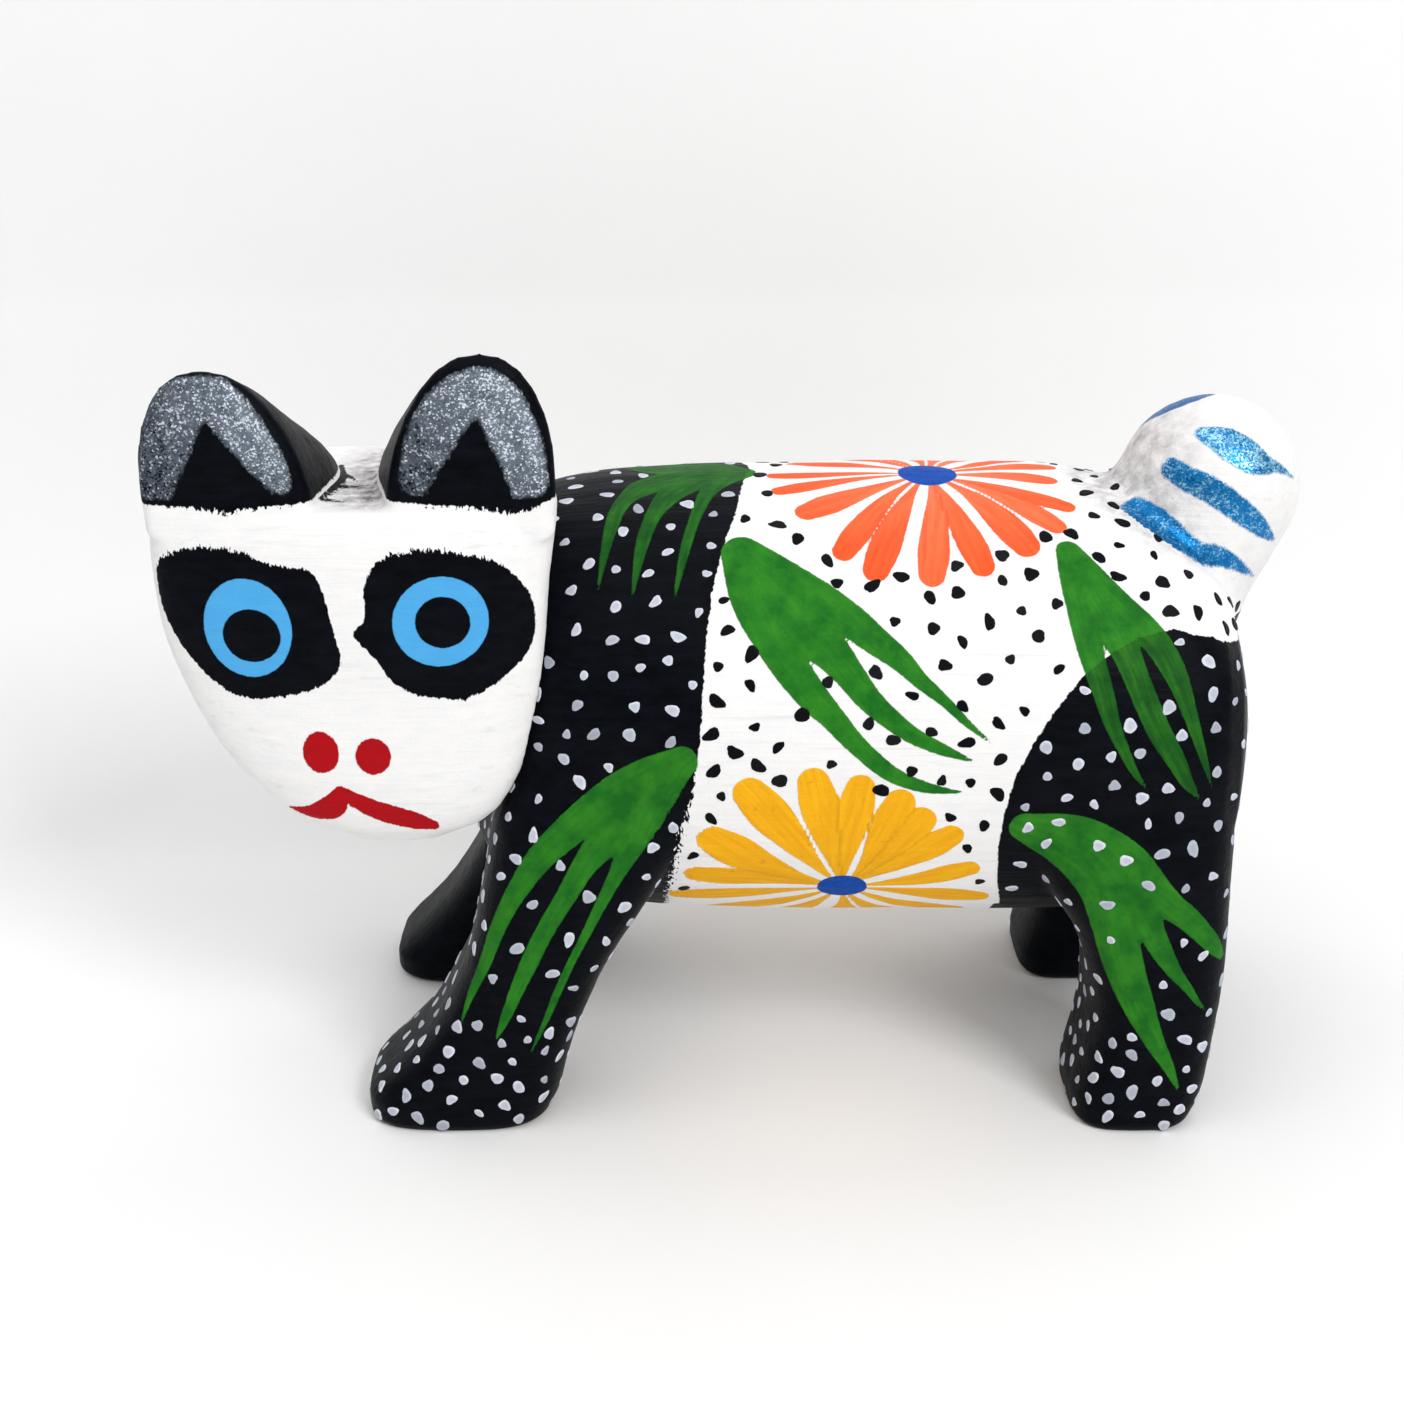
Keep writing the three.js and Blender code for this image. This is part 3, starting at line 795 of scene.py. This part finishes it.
def scatter_dots(painted):
    """Places pale dots on the black grounds and black dots on the white, clear of the motifs."""
    surface = []
    for name, (me, coats) in painted.items():
        if name != "torso" and "leg" not in name:
            continue
        me.calc_loop_triangles()
        tris = np.array([t.vertices[:] for t in me.loop_triangles])
        co, normals = coords_of(me), normals_of(me)
        motif = np.min([coats[c].d for c in ("green", "orange", "yellow", "royal", "teal")], axis=0)
        fields = (coats["black"].d, motif, coats["green"].d, coats["bare"].d)
        surface.append((co[tris], normals[tris], *(field[tris] for field in fields)))
    corners, normals, *fields = (np.concatenate(part) for part in zip(*surface))
    area = np.linalg.norm(np.cross(corners[:, 1] - corners[:, 0], corners[:, 2] - corners[:, 0]), axis=1)
    gen = np.random.default_rng(SEED)
    pick = gen.choice(len(area), DOT_TRIES, p=area / area.sum())
    w = gen.dirichlet((1, 1, 1), DOT_TRIES)
    mix = lambda a: np.einsum("ij,ij...->i...", w, a[pick])
    chance = gen.random(DOT_TRIES)
    cells = {}
    dots = {"pale": [], "black": []}
    for p, up, b, m, g, bare, luck in zip(*map(mix, (corners, normals, *fields)), chance):
        inner = p[2] < LEG_TOP and p[1] * up[1] < -4
        far_leg = p[1] > 0 and p[2] < LEG_TOP and up[1] < 0.3 and not (p[0] > 20 and up[0] > 0.6)
        sheltered = up[2] < -0.7 or inner or far_leg
        if p[2] < 0.8 or sheltered:
            continue
        over_leaf = luck < LEAF_DOT_CHANCE and g < -0.8 and p[0] > 20 and p[2] < 40
        if b < -DOT_INSET and (m > PALE_CLEAR or over_leaf):
            kind, gap = "pale", FOOT_DOT_GAP if p[2] < FOOT_TOP else PALE_DOT_GAP
        elif b > DOT_INSET and m > BLACK_CLEAR and bare > 0:
            kind, gap = "black", BLACK_DOT_GAP
        else:
            continue
        gap *= 0.92 + 0.4 * luck
        cell = tuple((p // DOT_CELL).astype(int))
        around = (
            q
            for dx in (-1, 0, 1)
            for dy in (-1, 0, 1)
            for dz in (-1, 0, 1)
            for q in cells.get((cell[0] + dx, cell[1] + dy, cell[2] + dz), ())
        )
        if any((p[0] - q[0]) ** 2 + (p[1] - q[1]) ** 2 + (p[2] - q[2]) ** 2 < gap * gap for q in around):
            continue
        cells.setdefault(cell, []).append(p)
        dots[kind].append((Vector(p), Vector(up).normalized()))
    return dots


def dot_mesh(name, dots, radius):
    """Each dot is a small closed dab of paint with a slightly raised rim."""
    verts, faces, rim, tone = [], [], [], []
    for centre, up in dots:
        turn = rng.uniform(0, math.tau)
        cos, sin = math.cos(turn), math.sin(turn)
        lean = Vector((0, 0, 1)) if abs(up.z) < 0.9 else Vector((1, 0, 0))
        u = up.cross(lean).normalized()
        v = up.cross(u)
        r = radius * rng.uniform(0.75, 1.25)
        stretch = rng.uniform(1.0, 1.32)
        lobe, skew = rng.uniform(0, math.tau), rng.uniform(0.04, 0.16)
        wobble = [
            1 + skew * math.cos(3 * math.tau * k / DOT_SIDES + lobe) + rng.uniform(-0.06, 0.06)
            for k in range(DOT_SIDES)
        ]
        shade = rng.random()
        start = len(verts)
        for size, height, edge in DOT_PROFILE:
            for k in range(DOT_SIDES):
                angle = math.tau * k / DOT_SIDES
                a = math.cos(angle) * r * size * wobble[k] * stretch
                b = math.sin(angle) * r * size * wobble[k] / stretch
                flatways = u * (a * cos - b * sin) + v * (a * sin + b * cos)
                verts.append((centre + flatways + up * height) * MM)
                rim.append(edge)
                tone.append(shade)
        verts.append((centre + up * (0.75 * DOT_RELIEF)) * MM)
        verts.append((centre - up * DOT_SINK) * MM)
        rim += [0.0, 1.0]
        tone += [shade, shade]
        top, bottom = len(verts) - 2, len(verts) - 1
        for k in range(DOT_SIDES):
            m = (k + 1) % DOT_SIDES
            for ring in range(len(DOT_PROFILE) - 1):
                a = start + ring * DOT_SIDES
                faces.append((a + k, a + m, a + DOT_SIDES + m, a + DOT_SIDES + k))
            last = start + (len(DOT_PROFILE) - 1) * DOT_SIDES
            faces.append((last + k, last + m, top))
            faces.append((start + m, start + k, bottom))
    me = mesh_of(name, verts, faces)
    me.attributes.new("rim", "FLOAT", "POINT").data.foreach_set("value", rim)
    me.attributes.new("tone", "FLOAT", "POINT").data.foreach_set("value", tone)
    me.shade_smooth()
    bm = bmesh.new()
    bm.from_mesh(me)
    bmesh.ops.recalc_face_normals(bm, faces=bm.faces[:])
    bm.to_mesh(me)
    bm.free()
    return me


# ---- materials ----


def srgb(r, g, b):
    """An eight-bit display colour as the linear colour that nodes take."""
    shown = (r / 255, g / 255, b / 255)
    linear = [v / 12.92 if v <= 0.04045 else ((v + 0.055) / 1.055) ** 2.4 for v in shown]
    return (*linear, 1.0)


class Nodes:
    """A short way to write a node tree."""

    def __init__(self, name):
        self.material = bpy.data.materials.new(name)
        self.material.use_nodes = True
        self.tree = self.material.node_tree
        self.tree.nodes.clear()
        self.output = self.new("ShaderNodeOutputMaterial")
        self.shader = self.new("ShaderNodeBsdfPrincipled")
        self.tree.links.new(self.shader.outputs[0], self.output.inputs[0])
        self.shader.inputs["Specular IOR Level"].default_value = 0.05
        self.place = self.new("ShaderNodeTexCoord").outputs["Object"]

    def new(self, kind):
        return self.tree.nodes.new(kind)

    def feed(self, socket, value):
        if isinstance(value, bpy.types.NodeSocket):
            self.tree.links.new(value, socket)
        else:
            socket.default_value = value

    def fold(self, kind, values, clamp=False):
        """Takes values together two at a time, from the left."""
        total = values[0]
        for value in values[1:]:
            total = self.math(kind, total, value, clamp=clamp)
        return total

    def times(self, *values, clamp=False):
        return self.fold("MULTIPLY", values, clamp)

    def plus(self, *values, clamp=False):
        return self.fold("ADD", values, clamp)

    def most(self, *values):
        return self.fold("MAXIMUM", values)

    def math(self, kind, *values, clamp=False):
        node = self.new("ShaderNodeMath")
        node.operation = kind
        node.use_clamp = clamp
        for socket, value in zip(node.inputs, values):
            self.feed(socket, value)
        return node.outputs[0]

    def attribute(self, name):
        node = self.new("ShaderNodeAttribute")
        node.attribute_name = name
        return node.outputs["Fac"]

    def scaled(self, x, y, z):
        """Object coordinates in millimetres times a factor along each axis."""
        node = self.new("ShaderNodeVectorMath")
        node.operation = "MULTIPLY"
        self.feed(node.inputs[0], self.place)
        node.inputs[1].default_value = (x / MM, y / MM, z / MM)
        return node.outputs[0]

    def vector(self, x, y, z):
        node = self.new("ShaderNodeCombineXYZ")
        for socket, value in zip(node.inputs, (x, y, z)):
            self.feed(socket, value)
        return node.outputs[0]

    def noise(self, where, detail=2.0, roughness=0.5):
        node = self.new("ShaderNodeTexNoise")
        node.inputs["Scale"].default_value = 1.0
        node.inputs["Detail"].default_value = detail
        node.inputs["Roughness"].default_value = roughness
        self.feed(node.inputs["Vector"], where)
        return node.outputs["Fac"]

    def spots(self, per_mm, detail=2.0, roughness=0.5):
        """Noise that is the same in every direction."""
        return self.noise(self.scaled(per_mm, per_mm, per_mm), detail, roughness)

    def cells(self, where):
        node = self.new("ShaderNodeTexVoronoi")
        node.inputs["Scale"].default_value = 1.0
        self.feed(node.inputs["Vector"], where)
        parts = self.new("ShaderNodeSeparateColor")
        self.feed(parts.inputs[0], node.outputs["Color"])
        return parts.outputs

    def mix(self, amount, a, b):
        node = self.new("ShaderNodeMix")
        node.data_type = "RGBA"
        self.feed(node.inputs["Factor"], amount)
        self.feed(node.inputs[6], a)
        self.feed(node.inputs[7], b)
        return node.outputs[2]

    def blend(self, amount, a, b):
        node = self.new("ShaderNodeMix")
        node.data_type = "FLOAT"
        self.feed(node.inputs["Factor"], amount)
        self.feed(node.inputs[2], a)
        self.feed(node.inputs[3], b)
        return node.outputs[0]

    def span(self, value, low, high, out_low=0.0, out_high=1.0):
        node = self.new("ShaderNodeMapRange")
        self.feed(node.inputs["Value"], value)
        ends = {"From Min": low, "From Max": high, "To Min": out_low, "To Max": out_high}
        for key, number in ends.items():
            node.inputs[key].default_value = number
        return node.outputs[0]

    def one_sided(self):
        """Paper that only shows from its front, so that it hides nothing from a camera behind it."""
        clear = self.new("ShaderNodeBsdfTransparent")
        back = self.new("ShaderNodeNewGeometry").outputs["Backfacing"]
        either = self.new("ShaderNodeMixShader")
        for socket, value in zip(either.inputs, (back, self.shader.outputs[0], clear.outputs[0])):
            self.tree.links.new(value, socket)
        self.tree.links.new(either.outputs[0], self.output.inputs[0])

    def finish(self, color, roughness, height=None, metallic=0.0):
        self.feed(self.shader.inputs["Base Color"], color)
        self.feed(self.shader.inputs["Roughness"], roughness)
        self.feed(self.shader.inputs["Metallic"], metallic)
        if height is not None:
            bump = self.new("ShaderNodeBump")
            bump.inputs["Strength"].default_value = 1.0
            bump.inputs["Distance"].default_value = MM
            self.feed(bump.inputs["Height"], height)
            self.feed(self.shader.inputs["Normal"], bump.outputs[0])
        return self.material


class Fields:
    """What the coats share: their masks, their streaks, the glitter's flakes and the wood's grain."""

    def __init__(self, n):
        wander = n.math("SUBTRACT", n.spots(1.7, 2), 0.5)
        bristle = n.math("SUBTRACT", n.noise(n.scaled(3.4, 3.4, 1.0), 2, 0.6), 0.5)
        ragged = n.times(n.attribute("ragged"), 3.2)
        edge = n.plus(n.times(wander, 0.35), n.times(bristle, ragged))
        soft_edge = n.times(edge, 0.35)

        def mask(coat, edge, blur=0.09):
            outside = n.math("DIVIDE", n.plus(n.attribute(coat), edge), blur)
            return n.math("SUBTRACT", 0.5, outside, clamp=True)

        self.grain = n.noise(n.scaled(0.06, 1.5, 1.5), 4, 0.65)
        self.brushed = n.noise(n.scaled(0.35, 0.9, 0.9), 3, 0.6)
        self.along, self.tone = n.attribute("along"), n.attribute("tone")
        across = n.times(n.attribute("across"), 1.9)
        streak_place = n.vector(across, n.times(self.along, 0.16), n.times(self.tone, 37.0))
        self.streak = n.span(n.noise(streak_place, 3, 0.6), 0.3, 0.7)
        self.black = mask("black", edge)
        soft = (mask(c, soft_edge) for c in ("green", "orange", "yellow", "royal", "sky", "red"))
        self.green, self.orange, self.yellow, self.royal, self.sky, self.red = soft
        self.flakes = n.cells(n.scaled(6.0, 6.0, 6.0))
        patches = n.span(n.spots(0.9, 3, 0.6), 0.3, 0.7)
        # lit is painted highlight: it lightens the glitter where high and, where low, leaves it dark with
        # the black ground showing through.
        self.lit = n.plus(n.times(n.attribute("shine"), 0.68), n.times(patches, 0.35))
        gaps = n.span(n.plus(self.lit, self.flakes[1]), 0.25, 0.6)
        self.silver = n.times(mask("silver", edge, 0.5), gaps)
        self.teal = mask("teal", edge, 0.25)


def white_ground(n, f):
    """Brushed white over the grain, darkened by painted shade and grime, with dark specks, at the tail's
    root and between the ears.
    """
    ground = n.mix(n.span(f.grain, 0.58, 0.8), srgb(241, 240, 239), srgb(219, 218, 218))
    ground = n.mix(n.span(f.brushed, 0.4, 0.75, 0.0, 0.35), ground, srgb(226, 226, 230))
    grime = n.attribute("grime")
    # grime darkens the white as painted shade, in noisy patches, with dark specks.
    shade_and_dirt = n.times(grime, n.span(n.spots(0.5, 4, 0.7), 0.32, 0.66))
    specks = n.span(n.spots(1.9, 2, 0.5), 0.69, 0.75, 0.0, 0.5)
    color = n.mix(n.times(shade_and_dirt, 0.55, clamp=True), ground, srgb(128, 122, 126))
    return n.mix(n.times(specks, n.math("MINIMUM", grime, 0.6)), color, srgb(60, 58, 60))


def leaf_green(n, f):
    """Cloudy green that lets the black ground through where it is thin."""
    cloud = n.span(n.spots(0.35, 3, 0.6), 0.34, 0.66)
    leaf = n.mix(cloud, srgb(26, 102, 30), srgb(38, 124, 32))
    leaf = n.mix(n.times(f.streak, cloud, 0.6), leaf, srgb(66, 142, 36))
    through = n.times(f.black, n.attribute("thin"), n.span(f.streak, 0.0, 1.0, 1.0, 0.45))
    return n.mix(n.plus(through, n.times(f.black, 0.04)), leaf, srgb(16, 36, 22))


def petal_orange(n, f):
    """Orange, faded towards the roots of the petals and on some petals more than on others."""
    fresh = n.mix(n.times(f.streak, 0.5), srgb(252, 80, 38), srgb(252, 116, 62))
    rooted = n.span(f.along, 2.0, 15.0, 0.55, 0.0)
    faded = n.plus(rooted, n.span(f.tone, 0.5, 1.0, 0.0, 0.35), clamp=True)
    return n.mix(n.times(faded, n.span(f.streak, 0.0, 1.0, 0.4, 1.0)), fresh, srgb(250, 138, 98))


def petal_yellow(n, f):
    """Ochre yellow with a few brown stains."""
    ochre = n.mix(n.times(f.streak, 0.8), srgb(248, 184, 28), srgb(232, 158, 22))
    return n.mix(n.span(n.spots(0.9, 3), 0.66, 0.8, 0.0, 0.55), ochre, srgb(178, 118, 26))


def silver_glitter(n, f):
    """Frosty grey flakes on black, with painted highlight and painted glints towards each ear's upper
    right and rim, and painted shade to the left.
    """
    glint = n.span(n.plus(f.flakes[0], n.times(f.lit, 0.4)), 0.93, 1.18)
    frost = n.mix(n.plus(f.lit, n.times(f.flakes[1], 0.2)), srgb(26, 30, 40), srgb(130, 142, 156))
    return n.mix(glint, frost, srgb(232, 240, 250))


def teal_glitter(n, f):
    """Blue flakes that turn nearly white where they catch the light."""
    # Painted shade and highlight: darker blue where lit is low, lighter where high, and painted glints
    # near white.
    depth = n.plus(n.times(f.lit, 0.7), n.times(f.flakes[1], 0.3))
    bright = n.span(n.plus(n.times(f.flakes[0], 0.5), f.lit), 0.82, 1.25)
    return n.mix(bright, n.mix(depth, srgb(6, 74, 140), srgb(40, 150, 214)), srgb(190, 240, 252))


def painted_copal():
    """White ground with the coats over it, each with its own body, streaks and edge."""
    n = Nodes("painted_copal")
    f = Fields(n)
    color = white_ground(n, f)
    color = n.mix(f.black, color, n.mix(n.span(f.brushed, 0.35, 0.7), srgb(2, 4, 8), srgb(8, 12, 20)))
    color = n.mix(f.green, color, leaf_green(n, f))
    color = n.mix(f.orange, color, petal_orange(n, f))
    color = n.mix(f.yellow, color, petal_yellow(n, f))
    color = n.mix(f.royal, color, n.mix(f.brushed, srgb(6, 64, 160), srgb(12, 86, 186)))
    color = n.mix(f.sky, color, n.mix(f.brushed, srgb(72, 160, 220), srgb(86, 176, 232)))
    color = n.mix(f.red, color, n.mix(f.brushed, srgb(184, 14, 24), srgb(160, 16, 24)))
    color = n.mix(f.silver, color, silver_glitter(n, f))
    color = n.mix(f.teal, color, teal_glitter(n, f))

    film = n.most(f.green, f.orange, f.yellow, f.royal, f.sky, f.red)
    glitter = n.most(f.silver, f.teal)
    relief = n.plus(
        n.times(film, 0.045),
        n.times(f.black, 0.03),
        n.times(f.grain, 0.11),
        n.times(n.spots(3.0, 3, 0.6), 0.035),
        n.times(f.streak, film, 0.03),
        n.times(f.flakes[2], glitter, 0.09),
    )
    bare = n.span(f.brushed, 0.2, 0.8, 0.62, 0.78)
    roughness = n.blend(f.black, bare, n.span(f.brushed, 0.2, 0.8, 0.36, 0.5))
    roughness = n.blend(film, roughness, 0.5)
    roughness = n.blend(glitter, roughness, n.span(f.flakes[1], 0.0, 1.0, 0.2, 0.55))
    return n.finish(color, roughness, relief, n.times(glitter, 0.75))


def dab_paint(name, middle, rim, thin, roughness):
    """Paint that has run to the rim of each dot, and lies thinner on some dots than on others."""
    n = Nodes(name)
    patch = n.spots(1.4, 2)
    color = n.mix(n.times(n.attribute("rim"), n.span(patch, 0.3, 0.7, 0.4, 1.0)), middle, rim)
    color = n.mix(n.span(n.attribute("tone"), 0.5, 1.0, 0.0, 0.6), color, thin)
    height = n.times(n.spots(5, 2), 0.03)
    return n.finish(color, n.span(patch, 0.3, 0.7, roughness - 0.06, roughness + 0.08), height)


def raw_copal():
    """Pale whittled wood with long grain."""
    n = Nodes("raw_copal")
    grain = n.noise(n.scaled(0.9, 0.9, 0.12), 5, 0.6)
    pores = n.noise(n.scaled(5, 5, 0.5), 2)
    color = n.mix(n.span(grain, 0.3, 0.7), srgb(228, 202, 160), srgb(196, 160, 112))
    color = n.mix(n.span(pores, 0.66, 0.8, 0.0, 0.6), color, srgb(140, 104, 66))
    return n.finish(color, n.span(grain, 0.3, 0.7, 0.62, 0.8), n.times(pores, 0.05))


# ---- the figure ----

piece_meshes = {}
for main, glued, planes in BLOCKS:
    skin = remeshed(grown_solids((main, *glued, *(name + "_peg" for name in glued))))
    largest_shell(skin)
    put_coords(skin, softened(skin))
    if "tail" in glued:
        put_coords(skin, filled_at_tail(skin))
    put_coords(skin, hand_carved(coords_of(skin), normals_of(skin)))
    piece_meshes.update(split_at_joints(skin, main, glued, planes))
paint_material = painted_copal()
peg_material = raw_copal()
painted = {}
for name, me in piece_meshes.items():
    painted[name] = (me, paint(name, me))
    ob = object_of("painted_" + name, me)
    me.materials.append(paint_material)
    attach(ob, "root")
    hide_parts(name)

dots = scatter_dots(painted)
PALE_DAB = (srgb(184, 188, 202), srgb(228, 231, 240), srgb(130, 136, 150), 0.5)
BLACK_DAB = (srgb(8, 9, 13), srgb(13, 14, 19), srgb(34, 34, 38), 0.45)
DABS = (
    ("pale", PALE_DOT_RADIUS, PALE_DAB, "white_painted_wood"),
    ("black", BLACK_DOT_RADIUS, BLACK_DAB, "black_painted_wood"),
)
for kind, radius, dab, slot in DABS:
    me = dot_mesh("dots_" + kind, dots[kind], radius)
    me.materials.append(dab_paint("dab_" + kind, *dab))
    ob = object_of("dots_" + kind, me)
    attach(ob, "root")

for name in PEGS:
    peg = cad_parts[name].data
    peg.materials.clear()
    peg.materials.append(peg_material)

# ---- studio ----

CAMERA_PLACE = (-4.6, -219.2, 126.2)
CAMERA_DROP = 21.5  # degrees below level
CAMERA_LENS = 54.56  # on a sensor 36 mm wide
SHEET_HALF_WIDTH = 1100
SWEEP = ((-900, 0), (34, 0), (46, 1), (58, 6), (68, 15), (76, 28), (82, 46), (86, 70), (90, 700))
TABLE = ((-900, -0.3), (1100, -0.3))  # lies under the sweep and goes on behind it


def backdrop(name, profile):
    """A sheet of pale paper, given by its profile from front to back."""
    verts = [(side * SHEET_HALF_WIDTH * MM, y * MM, z * MM) for y, z in profile for side in (-1, 1)]
    faces = [(2 * k, 2 * k + 1, 2 * k + 3, 2 * k + 2) for k in range(len(profile) - 1)]
    me = mesh_of(name, verts, faces)
    me.shade_smooth()
    n = Nodes(name + "_paper")
    tooth = n.noise(n.scaled(0.02, 0.02, 0.02), 3)
    n.finish(n.mix(tooth, srgb(240, 240, 240), srgb(245, 245, 245)), 0.9)
    n.one_sided()
    me.materials.append(n.material)
    return object_of(name, me)


def soft_light(name, place, aim, size, power):
    """A square lamp. Its size is in metres, and its power in watts."""
    lamp = bpy.data.lights.new(name, "AREA")
    lamp.size = size
    lamp.energy = power
    ob = object_of(name, lamp)
    ob.location = Vector(place) * MM
    ob.rotation_euler = (Vector(aim) * MM - ob.location).to_track_quat("-Z", "Y").to_euler()


# The sweep is a flat floor that curves up into a wall.
backdrop("sweep", np.vstack((SWEEP[0], smooth_rows(SWEEP[1:-1], steps=8), SWEEP[-1])))
backdrop("table", TABLE)
soft_light("key", (445, -640, 640), (0, 0, 30), 0.34, 4.7)
soft_light("overhead", (-150, -200, 600), (0, 0, 0), 0.7, 2.0)
world = bpy.data.worlds.new("studio")
world.use_nodes = True
sky = world.node_tree.nodes["Background"].inputs
sky["Color"].default_value = (1, 1, 1, 1)
sky["Strength"].default_value = 0.33
bpy.context.scene.world = world
bpy.context.scene.view_settings.view_transform = "Standard"

camera = bpy.data.cameras.new("camera")
camera.lens = CAMERA_LENS
camera.sensor_width = 36
camera.clip_start = 0.01
view = object_of("camera", camera)
view.location = Vector(CAMERA_PLACE) * MM
view.rotation_euler = (math.radians(90 - CAMERA_DROP), 0, 0)
bpy.context.scene.camera = view
